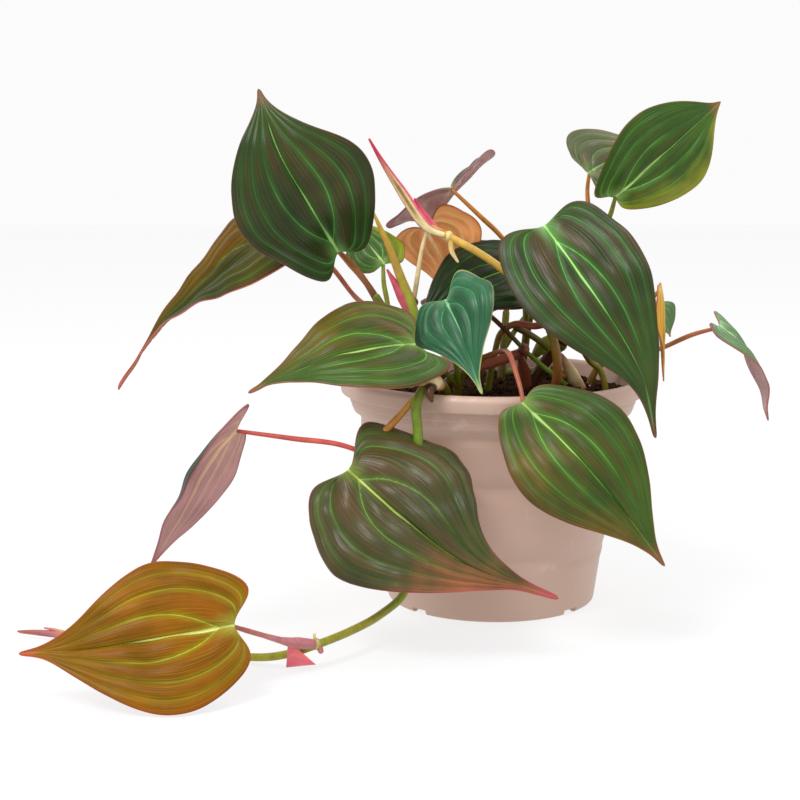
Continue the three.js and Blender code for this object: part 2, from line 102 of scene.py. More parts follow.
def add_lamp(name, place, size, power):
    light = bpy.data.lights.new(name, "AREA")
    light.size = size
    light.energy = power
    lamp = bpy.data.objects.new(name, light)
    lamp.location = place
    lamp.rotation_euler = (Vector(lamp_target) - Vector(place)).to_track_quat("-Z", "Y").to_euler()
    bpy.context.scene.collection.objects.link(lamp)


add_lamp("softbox", (-0.5, -0.7, 1.1), size=0.45, power=11)
add_lamp("top_bank", (0.5, 0.3, 1.2), size=0.6, power=4)

# The nursery pot
# Injection-moulded polypropylene in taupe: a tapered wall with a folded rim, a step under it, faint
# moulding rings, and a foot ring that drains through four notches.
pot_height = 89
rim_radius = 60
rim_height = 6.5
foot_radius = 41
wall = 1.8
floor_top = 4.4
pot_steps = 160


def arc(centre, radius, first, last, steps=6):
    angles = [math.radians(first + (last - first) * step / steps) for step in range(steps + 1)]
    return [(centre[0] + radius * math.cos(a), centre[1] + radius * math.sin(a)) for a in angles]


def ring_line(radius, height, depth=0.16):
    """A pair of faint moulding lines: a shallow band stands back between them."""
    return [(radius, height), (radius - depth, height + 0.25), (radius - depth + 0.5, height + 3.8),
            (radius + 0.62, height + 4.05)]


rim_low = pot_height - rim_height
pot_profile = [
    (0, 0), (12, 0), (12.6, 0.8), (13, 2.4), (37.4, 2.4), (38.2, 0.4), (38.8, 0),
    *arc((foot_radius - 1.2, 1.4), 1.4, -90, -8),
    (43.4, 17), *ring_line(44.3, 21), (46, 33), (47.4, 44), *ring_line(48.2, 50),
    (50.2, 60), (51.4, 67), *arc((48.4, 69.2), 3.4, -8, 10, 3),
    *arc((55.6, 71.6), 3.9, 190, 120, 5),
    (54.6, 75.6), (55.4, 77.4), *arc((55.2, 79.6), 0.9, -70, 0, 4), (56.2, rim_low - 0.5),
    *arc((56.7, rim_low - 0.5), 0.5, 180, 90, 3), *arc((rim_radius - 1.3, rim_low + 0.8), 0.8, -90, -4, 4),
    *arc((rim_radius - 2.2, pot_height - 2.4), 2.4, 0, 90, 8),
    *arc((rim_radius - 2.6, pot_height - 1.8), 1.8, 100, 180, 5),
    (rim_radius - 4.8, 84.4), (rim_radius - 5.9, 79), (54.4 - wall, 75), (51.7 - wall, 68),
    (foot_radius + 1.4 - wall, 6.6), *arc((foot_radius - wall - 1, floor_top + 1.6), 1.6, -10, -90, 4),
    (0, floor_top),
]


def lathe(bm, profile, steps):
    points = [bm.verts.new((radius * mm, 0, height * mm)) for radius, height in profile]
    edges = [bm.edges.new(pair) for pair in zip(points, points[1:])]
    bmesh.ops.spin(bm, geom=points + edges, cent=(0, 0, 0), axis=(0, 0, 1), angle=math.tau, steps=steps,
                   use_merge=True)
    bmesh.ops.remove_doubles(bm, verts=bm.verts, dist=1e-6)
    bmesh.ops.recalc_face_normals(bm, faces=bm.faces)


def add_node(tree, kind, inputs=None, **settings):
    made = tree.nodes.new("ShaderNode" + kind)
    for name, value in settings.items():
        setattr(made, name, value)
    for place, value in (inputs or {}).items():
        if isinstance(value, bpy.types.NodeSocket):
            tree.links.new(value, made.inputs[place])
        else:
            made.inputs[place].default_value = value
    return made


def add_noise(tree, place, count, detail, roughness=0.5):
    """Noise with about so many patches to a unit of its place, which is a metre on Object coordinates."""
    inputs = {"Vector": place, "Scale": count, "Detail": detail, "Roughness": roughness}
    return add_node(tree, "TexNoise", inputs).outputs["Fac"]


def plastic_material():
    """Polypropylene with a fine mould texture: soft broad highlights and a few pale scuffs."""
    material, tree, skin = new_material("taupe_polypropylene")
    place = add_node(tree, "TexCoord").outputs["Object"]
    tone = add_node(tree, "ValToRGB", {"Fac": add_noise(tree, place, 35, 3)})
    tone.color_ramp.elements[0].color = linear("#b59786")
    tone.color_ramp.elements[1].color = linear("#bd9f8f")
    scuff_spread, scuff_area = add_noise(tree, place, 160, 4), add_noise(tree, place, 22, 0)
    both = add_node(tree, "Math", {0: scuff_spread, 1: scuff_area}, operation="MULTIPLY")
    scuffs = add_node(tree, "MapRange", {"Value": both.outputs[0], "From Min": 0.40, "From Max": 0.46,
                                         "To Max": 0.35})
    marked = add_node(tree, "MixRGB", {"Fac": scuffs.outputs[0], "Color1": tone.outputs["Color"],
                                       "Color2": linear("#c9b3a6")})
    tree.links.new(marked.outputs[0], skin.inputs["Base Color"])
    grain = add_noise(tree, place, 1800, 2)
    bump = add_node(tree, "Bump", {"Height": grain, "Strength": 0.08, "Distance": 0.2 * mm})
    tree.links.new(bump.outputs[0], skin.inputs["Normal"])
    skin.inputs["Roughness"].default_value = 0.46
    skin.inputs["IOR"].default_value = 1.49
    return material


taupe_plastic = plastic_material()
bm = bmesh.new()
lathe(bm, pot_profile, pot_steps)
pot = new_object("nursery_pot", bm, [taupe_plastic])

notch_width = 7
notch_height = 2
notch_reach = 8
bm = bmesh.new()
for turn in (45, 135, 225, 315):
    place = Matrix.Rotation(math.radians(turn), 4, "Z") @ Matrix.Translation((foot_radius * mm, 0, 0))
    size = Matrix.Diagonal((notch_reach * mm, notch_width * mm, 2 * notch_height * mm, 1))
    bmesh.ops.create_cube(bm, size=1, matrix=place @ size)
notches = new_object("notches", bm, [])
cut = pot.modifiers.new("notches", "BOOLEAN")
cut.object = notches
cut.operation = "DIFFERENCE"
cut.solver = "EXACT"


def apply_modifiers(made):
    """The piece's mesh becomes what its modifiers show."""
    graph = bpy.context.evaluated_depsgraph_get()
    shown = bpy.data.meshes.new_from_object(made.evaluated_get(graph))
    made.modifiers.clear()
    made.data = shown


apply_modifiers(pot)
bpy.data.objects.remove(notches)
crisp = pot.modifiers.new("crisp_notches", "EDGE_SPLIT")
crisp.split_angle = math.radians(50)
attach(pot, "root")
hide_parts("pot")

# The potting soil
# A dark peat mix, crumbly and damp, level with the step under the rim. Crumbs of peat and a few white
# grains of perlite lie on it.
soil_level = rim_low
soil_radius = 52.9
soil_rings = 70
soil_steps = 220
crumb_count = 900
perlite_count = 26
random.seed(7)


def peat_material():
    """Peat: matt, fibrous and nearly black where it is damp, with paler dry fibres."""
    material, tree, skin = new_material("damp_peat")
    place = add_node(tree, "TexCoord").outputs["Object"]
    fibres = add_noise(tree, place, 420, 6, 0.7)
    tone = add_node(tree, "ValToRGB", {"Fac": fibres})
    tone.color_ramp.elements[0].position = 0.35
    tone.color_ramp.elements[0].color = linear("#100905")
    tone.color_ramp.elements[1].position = 0.72
    tone.color_ramp.elements[1].color = linear("#503220")
    tree.links.new(tone.outputs["Color"], skin.inputs["Base Color"])
    bump = add_node(tree, "Bump", {"Height": fibres, "Strength": 0.8, "Distance": 0.8 * mm})
    tree.links.new(bump.outputs[0], skin.inputs["Normal"])
    skin.inputs["Roughness"].default_value = 0.95
    skin.inputs["Specular IOR Level"].default_value = 0.1
    return material


def perlite_material():
    """Expanded volcanic glass: matt and off-white, with darker pits."""
    material, tree, skin = new_material("perlite")
    place = add_node(tree, "TexCoord").outputs["Object"]
    tone = add_node(tree, "ValToRGB", {"Fac": add_noise(tree, place, 900, 3)})
    tone.color_ramp.elements[0].color = linear("#b8afa0")
    tone.color_ramp.elements[1].color = linear("#efebe2")
    tree.links.new(tone.outputs["Color"], skin.inputs["Base Color"])
    skin.inputs["Roughness"].default_value = 0.9
    return material


def soil_height(x, y):
    """Height of the crumbly top in millimetres over its mean level."""
    at = Vector((x, y, 0))
    return 0.9 * noise.noise(at * 0.12) + 1.5 * abs(noise.noise(at * 0.33)) + 0.7 * noise.noise(at * 0.9)


bm = bmesh.new()
soil_top = [(soil_radius * ring / soil_rings, soil_level) for ring in range(soil_rings, -1, -1)]
lathe(bm, [(0, 4.8), (39, 4.8), (40.6, 7), (49.2, 68), *soil_top], soil_steps)
for vertex in bm.verts:
    if vertex.co.z > (soil_level - 1) * mm:
        vertex.co.z += soil_height(vertex.co.x / mm, vertex.co.y / mm) * mm
damp_peat = peat_material()
soil = new_object("potting_soil_mix", bm, [damp_peat])
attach(soil, "root")
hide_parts("potting_soil")


def scatter_grains(bm, count, smallest, largest):
    for _ in range(count):
        reach = (soil_radius - 2) * math.sqrt(random.random())
        turn = random.uniform(0, math.tau)
        x, y = reach * math.cos(turn), reach * math.sin(turn)
        size = random.uniform(smallest, largest) * random.uniform(0.6, 1)
        place = Matrix.Translation((x * mm, y * mm, (soil_level + soil_height(x, y) + size * 0.2) * mm))
        spin = Matrix.Rotation(random.uniform(0, math.tau), 4, Vector((1, random.random(), 1)).normalized())
        squash = Matrix.Diagonal((size * mm, size * random.uniform(0.5, 1) * mm, size * 0.6 * mm, 1))
        grain = bmesh.ops.create_icosphere(bm, subdivisions=1, radius=1, matrix=place @ spin @ squash)
        for vertex in grain["verts"]:
            vertex.co += Vector([random.uniform(-0.2, 0.2) * size * mm for _ in range(3)])


bm = bmesh.new()
scatter_grains(bm, crumb_count, smallest=0.7, largest=2.0)
crumbs = new_object("soil_crumbs", bm, [damp_peat])
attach(crumbs, "root")

bm = bmesh.new()
scatter_grains(bm, perlite_count, smallest=0.6, largest=1.2)
grains = new_object("perlite_grains", bm, [perlite_material()])
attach(grains, "root")

# The leaf blades
# Thin velvety hearts with a long drip tip. Every vein starts at the petiole and runs in an arc to the
# tip, sunk into the upper face, and the blade bulges between them like a quilt.
blade_thickness = 0.55
outline_rise = 0.52
lobe_spread = 0.045
drip_tip_share = 0.026
vein_places = (0.34, 0.6, 0.82)
fork_place = 0.06
fork_reach = 0.13
fine_veins = 18
bulge_per_width = 1 / 8
highest_bulge = 1.2
margin_bulge = 0.35
dents_per_metre = 95

# The flush is the warm colour of one half, of both, or of the tip alone: its weights go by the place
# across the blade (left half minus, right half plus), the place along it and an even share.
leaf_skins = {
    "mature": dict(
        ground="#26380f", between="#3a2810", beside="#336820", vein="#6ca656", midrib="#9cc876",
        margin="#6e4030", flush="#3a2c12", flush_by=(0, 0, 0), gloss=0.24,
        under="#8d6a68", under_vein="#a9a070"),
    # This skin is the mature skin painted darker and with less gloss: painted shade for a leaf that lies in
    # the shadow of the leaves round it.
    "painted_shade_mature": dict(
        ground="#16220a", between="#20160a", beside="#1e4210", vein="#4e8034", midrib="#7aa452",
        margin="#6e4030", flush="#20160a", flush_by=(0, 0, 0), gloss=0.14,
        under="#8d6a68", under_vein="#a9a070"),
    "front": dict(
        ground="#3c421c", between="#48331e", beside="#4a6424", vein="#7f9644", midrib="#a8b05c",
        margin="#a8404e", flush="#8c4a32", flush_by=(0.25, 1.5, -0.85), gloss=0.26,
        under="#93656a", under_vein="#b3a070"),
    "olive": dict(
        ground="#344c16", between="#4a3212", beside="#44751f", vein="#84aa54", midrib="#a8c272",
        margin="#8f5238", flush="#5e4416", flush_by=(0.5, 0.5, -0.3), gloss=0.2,
        under="#8c7060", under_vein="#a9a070"),
    "green": dict(
        ground="#2f5010", between="#48440e", beside="#417c22", vein="#98c468", midrib="#bcd888",
        margin="#8a5a34", flush="#8c8a1c", flush_by=(0.75, -0.1, -0.3), gloss=0.24,
        under="#a07c7a", under_vein="#aab070"),
    "teal": dict(
        ground="#1f5232", between="#24442a", beside="#2c7046", vein="#6aa474", midrib="#8cbc90",
        margin="#99a060", flush="#2a5a44", flush_by=(0, 0, 0), gloss=0.3,
        under="#7a8a70", under_vein="#a9b080"),
    "bronze": dict(
        ground="#7c5006", between="#764206", beside="#7c7a10", vein="#a8b244", midrib="#c4c878",
        margin="#a84634", flush="#843a10", flush_by=(0, 0.6, -0.35), gloss=0.1,
        under="#a8605a", under_vein="#c0a060"),
    "gold": dict(
        ground="#34390c", between="#3e2e0a", beside="#485a1a", vein="#8a9e40", midrib="#a0a84c",
        margin="#b0544c", flush="#5c3a00", flush_by=(0.9, -0.7, 0.25), gloss=0.07,
        under="#b0706a", under_vein="#b09a70"),
    "amber": dict(
        ground="#dc8c40", between="#d47838", beside="#dca852", vein="#f0d078", midrib="#f2dc98",
        margin="#b06038", flush="#c87a34", flush_by=(0, 0, 0), gloss=0.12,
        under="#f6aa68", under_vein="#ffe8a8"),
    "yellow": dict(
        ground="#c8921c", between="#b87a1c", beside="#cfa62a", vein="#dcc658", midrib="#e6d888",
        margin="#b06038", flush="#c08030", flush_by=(0, 0, 0), gloss=0.12,
        under="#c8922a", under_vein="#dcc070"),
    "mauve": dict(
        ground="#2a3222", between="#332c22", beside="#3a4c2c", vein="#66784c", midrib="#98946c",
        margin="#8f5258", flush="#4a3a38", flush_by=(0, 0, 0), gloss=0.25,
        under="#bc8c8c", under_vein="#d8b488"),
    "dusty": dict(
        ground="#4e5834", between="#5e4a36", beside="#567040", vein="#86a468", midrib="#9cb47c",
        margin="#8a5040", flush="#6a5040", flush_by=(0, 0, 0), gloss=0.3,
        under="#8d6a68", under_vein="#a9a070"),
    "pale": dict(
        ground="#48683c", between="#566642", beside="#567e4a", vein="#86a878", midrib="#a0bc90",
        margin="#94584c", flush="#4a6a40", flush_by=(0, 0, 0), gloss=0.3,
        under="#b58c90", under_vein="#bca898"),
}

# A blade's shape: its flat width, how much wider each half is, how far its lobes reach back, how full it
# is and how fast it runs out into the drip tip, the angles in degrees by which it rises from the midrib,
# curls and rolls, its waves, bulges and dents, the way that its upper face looks, and its midrib. Pairs
# are for the left and the right half, but rise and roll go from the petiole to the tip.
usual_leaf = dict(
    wide=(1, 1), lobe=(0.05, 0.05), full=1.5, drip=2.2, rise=(12, 20), curl=(30, 30), roll=(0, 0),
    wave=0.8, waves=1.5, quilt=1.4, dents=1.0)
leaves = {
    "upper_left_large": dict(
        skin="mature", width=53, full=2.6, lobe=(0.1, 0.03), face=(-0.1, -0.95, 0.2),
        spine=[(-59, -32, 139), (-69, -45, 157), (-80, -49, 177), (-87, -42, 198)]),
    "far_left_bronze": dict(
        skin="gold", width=62, full=1.2, drip=4, wide=(1, 1.45), lobe=(0.04, 0.04), rise=(12, 36),
        curl=(45, 15), face=(-0.85, -0.2, 0.5),
        spine=[(-78.5, -4.5, 143.5), (-94.5, -6.5, 135.5), (-110.5, -2.5, 122.5), (-129, 3.5, 108),
               (-139.5, 7.5, 95.5), (-149.5, 11.5, 81)]),
    "left_small_green": dict(
        skin="green", width=25, lobe=(0.03, 0.1), face=(0.1, -0.8, 0.6),
        spine=[(-42.5, -12, 133), (-49.5, -5, 141), (-58, 0, 152)]),
    "centre_purple": dict(
        skin="mauve", width=54, full=2, rise=(20, 15), curl=(30, 10), face=(-0.52, 0.135, 0.84),
        spine=[(-16.5, -5, 161.5), (-19.5, 15, 155.5), (-25, 38, 145)]),
    "centre_orange": dict(
        skin="amber", width=40, lobe=(0, 0.15), rise=(28, 20), curl=(20, 20), face=(0.4, 0.9, 0.1),
        spine=[(-26.5, 2, 145.5), (-19.5, 9, 132), (-11, 16, 110)]),
    # Its skin is painted darker: painted shade, for this leaf lies in the shadow of the leaves round it.
    "centre_dark": dict(
        skin="painted_shade_mature", width=42, face=(-0.2, -0.7, 0.7),
        spine=[(12, -12, 133), (-12, -24, 125), (-34, -33, 109)]),
    "centre_teal": dict(
        skin="teal", width=37, lobe=(0.16, 0.06), face=(-0.45, -0.82, 0.3),
        spine=[(-19.5, -36, 122), (-14, -47, 110.5), (-7, -58, 90)]),
    "right_large": dict(
        skin="mature", width=49, full=1, lobe=(0.02, 0.03), face=(0.05, -0.9, 0.35),
        spine=[(16, -40, 149), (35, -58, 122), (49, -62, 98), (55.5, -58, 74)]),
    "front_right": dict(
        skin="olive", width=46, full=2.4, lobe=(0, 0.02), face=(-0.15, -0.85, 0.5),
        spine=[(7, -64, 87.5), (22, -79, 74.5), (39, -84, 55.5), (56, -82, 33)]),
    "front_large": dict(
        skin="front", width=66, full=1.7, drip=2.6, wide=(1.1, 0.93), lobe=(0.1, 0.05), rise=(6, 20),
        curl=(62, 45), face=(-0.05, -0.9, 0.42), quilt=2.1, dents=1.7,
        spine=[(-54.5, -72, 65), (-36, -84, 51), (-14, -90, 36), (18.5, -88, 23)]),
    "trailing_bronze": dict(
        skin="bronze", width=52, full=1.7, lobe=(0.04, 0.09), curl=(20, 30), face=(0, -0.87, 0.5),
        spine=[(-90.5, -121, 23.5), (-114, -127, 21), (-137, -129, 18), (-159.5, -127, 16)]),
    "left_mauve": dict(
        skin="mauve", width=28, full=2.5, drip=1.9, wave=0.2, wide=(0.95, 0.82), lobe=(0.15, 0),
        rise=(0, 0), curl=(100, 10), face=(-0.5, 0.85, 0.1),
        spine=[(-94.5, -60, 77.5), (-104.5, -62.5, 66), (-113.5, -62, 49), (-127.5, -60, 26)]),
    "upper_right_green": dict(
        skin="green", width=38, full=3, drip=1.8, lobe=(0.08, 0), rise=(10, 10), curl=(20, 20),
        face=(0.25, -0.94, -0.1),
        spine=[(46, -5, 158.5), (58, -10, 170), (71.5, -12, 182.5), (85.5, -5, 194.5)]),
    "upper_right_back": dict(
        skin="dusty", width=40, lobe=(0.02, 0.05), face=(0, -0.75, 0.6),
        spine=[(38, 15, 167), (50, 20, 173), (72, 27, 178)]),
    "right_small": dict(
        skin="pale", width=24, lobe=(0.1, 0.1), roll=(0, -70), face=(0.6, -0.45, 0.6),
        spine=[(90, 5, 107.5), (100, 5, 98), (107, 5, 84), (110.5, 5, 69.5)]),
    "right_yellow": dict(
        skin="yellow", width=20, face=(0.92, -0.3, 0.2),
        spine=[(63.5, -6, 123), (65, -6, 105), (66.5, -6, 87)]),
    "right_pale": dict(
        skin="pale", width=17, face=(0.2, -0.9, 0.2),
        spine=[(68, 31, 111), (72, 31, 106), (75, 31, 100)]),
    "middle_left": dict(
        skin="olive", width=49, full=1.3, wide=(0.85, 1.05), lobe=(0.14, 0.05), face=(0.1, -0.6, 0.75),
        spine=[(-31, -50, 106.5), (-51, -58, 105.5), (-72, -60, 99), (-91, -55, 90)]),
    "back_russet": dict(
        skin="gold", width=40, face=(0, 0.1, 1),
        spine=[(6, 28, 138), (2, 46, 134), (-4, 66, 118)]),
    "back_right": dict(
        skin="mature", width=44, face=(0.2, 0.8, 0.45),
        spine=[(38, 34, 132), (46, 52, 122), (50, 70, 98)]),
    "back_left": dict(
        skin="mature", width=38, face=(-0.1, 0.8, 0.5),
        spine=[(-8, 30, 118), (-10, 50, 108), (-12, 68, 86)]),
}
for name in leaves:
    leaves[name] = {**usual_leaf, **leaves[name]}


def curve_place(points, t):
    """The place at t, from 0 to 1, on a smooth curve through the points, and the way it runs there."""
    corners = [Vector(point) for point in points]
    corners = [2 * corners[0] - corners[1], *corners, 2 * corners[-1] - corners[-2]]
    spans = len(points) - 1
    span = min(int(t * spans), spans - 1)
    w = t * spans - span
    before, first, last, after = corners[span:span + 4]
    leave, arrive = (last - before) / 2, (after - first) / 2
    bend = 2 * first - 2 * last + leave + arrive
    ease = 3 * last - 3 * first - 2 * leave - arrive
    place = first + leave * w + ease * w * w + bend * w ** 3
    way = leave + 2 * ease * w + 3 * bend * w * w
    return place, way.normalized()


def curve_length(points, parts=200):
    places = [curve_place(points, part / parts)[0] for part in range(parts + 1)]
    return sum((b - a).length for a, b in zip(places, places[1:]))


def mix(first, last, share):
    return first + (last - first) * share


def half_width(leaf, u, v):
    """How wide a half of the blade is at u, in millimetres: a heart that runs out into a drip tip."""
    def outline(at):
        return at ** outline_rise * max(1 - at ** leaf["full"], 0) ** leaf["drip"]
    widest = (outline_rise / (outline_rise + leaf["full"] * leaf["drip"])) ** (1 / leaf["full"])
    heart = leaf["width"] / 2 * outline(u) / outline(widest)
    drip_tip = drip_tip_share * leaf["width"] * u ** 4 * math.sqrt(max(1 - u ** 24, 0))
    return leaf["wide"][0 if v < 0 else 1] * (heart + drip_tip)


def blade_place(leaf, length, u, v):
    """The point of a blade at u, from the petiole to the tip, and v, from the left to the right margin."""
    x = v * half_width(leaf, u, v)
    lobe = leaf["lobe"][0 if v < 0 else 1] + lobe_spread
    y = length * (u - lobe * (u / lobe_spread) * math.exp(1 - u / lobe_spread) * v * v)
    t = min(max(y / length, 0), 1)
    middle, along = curve_place(leaf["spine"], t)
    face = Vector(leaf["face"]).normalized()
    up = (face - along * face.dot(along)).normalized()
    up = Quaternion(along, math.radians(mix(*leaf["roll"], t))) @ up
    across = along.cross(up)
    reach, side = abs(x), math.copysign(1, x)
    turn = math.radians(leaf["curl"][0 if x < 0 else 1] + 0.01) / (leaf["width"] / 2)
    start = math.radians(mix(*leaf["rise"], t))
    end = start - turn * reach
    sideways = (math.sin(start) - math.sin(end)) / turn
    lift = (math.cos(end) - math.cos(start)) / turn
    swing = math.sin(leaf["waves"] * math.tau * t + (side if x else 0))
    wave = leaf["wave"] * swing * (2 * reach / leaf["width"]) ** 2
    return middle + along * (y - t * length) + across * (side * sideways) + up * (lift + wave)


def vein_lines(u):
    """Where the midrib, the lateral veins and the margin lie across half a blade. The innermost vein
    leaves the midrib a little above the petiole."""
    inner = vein_places[0] * (1 - math.exp(-max(u - fork_place, 0) / fork_reach))
    return (0, inner, *vein_places[1:], 1)


def quilting(u, v, half):
    """How far the blade bulges between two veins, in millimetres."""
    across = abs(v)
    for low, high in zip(vein_lines(u), vein_lines(u)[1:]):
        if low <= across <= high:
            width = (high - low) * half
            bulge = max(math.sin(math.pi * (across - low) / max(high - low, 1e-3)), 0) ** 0.7
            return bulge * min(width * bulge_per_width, highest_bulge) * (margin_bulge if high == 1 else 1)
    return 0


def make_blade(name, leaf, materials):
    """A sheet bent from a grid whose rows lie closer together at the lobes and at the tip."""
    rows, columns = (70, 72) if leaf["width"] > 30 else (48, 40)
    length = curve_length(leaf["spine"])
    bm = bmesh.new()
    across = bm.verts.layers.float.new("across")
    along = bm.verts.layers.float.new("along")
    half = bm.verts.layers.float.new("half_width")
    relief = bm.verts.layers.float.new("relief")
    bmesh.ops.create_grid(bm, x_segments=columns, y_segments=rows, size=1)
    for vertex in bm.verts:
        u, v = 1 - (1 - ((vertex.co.y + 1) / 2) ** 1.7) ** 1.25, vertex.co.x
        vertex[across], vertex[along], vertex[half] = v, u, half_width(leaf, u, v)
        vertex.co = blade_place(leaf, length, u, v) * mm
        dents = noise.noise(vertex.co * dents_per_metre) * leaf["dents"] * min(8 * (1 - u), 1)
        vertex[relief] = leaf["quilt"] * quilting(u, v, vertex[half]) + dents
    bmesh.ops.remove_doubles(bm, verts=bm.verts, dist=0.03 * mm)
    bm.normal_update()
    for vertex, normal in [(vertex, vertex.normal.copy()) for vertex in bm.verts]:
        vertex.co += normal * vertex[relief] * mm
    blade = new_object(name, bm, materials)
    shell = blade.modifiers.new("thickness", "SOLIDIFY")
    shell.thickness = blade_thickness * mm
    shell.offset = 0
    shell.material_offset = 1
    shell.material_offset_rim = 2
    return blade


def vein_masks(tree):
    """The distances to the midrib, to the nearest lateral vein and to the margin in millimetres, and the
    places along and across the blade, from the numbers that the mesh carries. The veins wander a little."""
    def number(name):
        return add_node(tree, "Attribute", attribute_name=name).outputs["Fac"]

    def maths(operation, first, second=0.0, third=0.0, clamp=False):
        inputs = {0: first, 1: second, 2: third}
        return add_node(tree, "Math", inputs, operation=operation, use_clamp=clamp).outputs[0]

    u, half, across = number("along"), number("half_width"), number("across")
    place = add_node(tree, "TexCoord").outputs["Object"]
    wander = add_noise(tree, place, 60, 2)
    plain = maths("ABSOLUTE", across)
    aside = maths("MULTIPLY_ADD", maths("SUBTRACT", wander, 0.5), maths("MULTIPLY", plain, 0.04), plain)
    past_fork = maths("MULTIPLY", maths("SUBTRACT", u, fork_place, clamp=True), -1 / fork_reach)
    inner = maths("MULTIPLY", maths("SUBTRACT", 1.0, maths("EXPONENT", past_fork)), vein_places[0])
    lateral = half
    for line in (inner, *vein_places[1:]):
        away = maths("MULTIPLY", maths("ABSOLUTE", maths("SUBTRACT", aside, line)), half)
        lateral = maths("MINIMUM", lateral, away)
    midrib = maths("MULTIPLY", plain, half)
    margin = maths("MULTIPLY", maths("SUBTRACT", 1.0, plain), half)
    return dict(u=u, aside=aside, across=across, half=half, place=place, lateral=lateral, midrib=midrib,
                margin=margin, maths=maths)


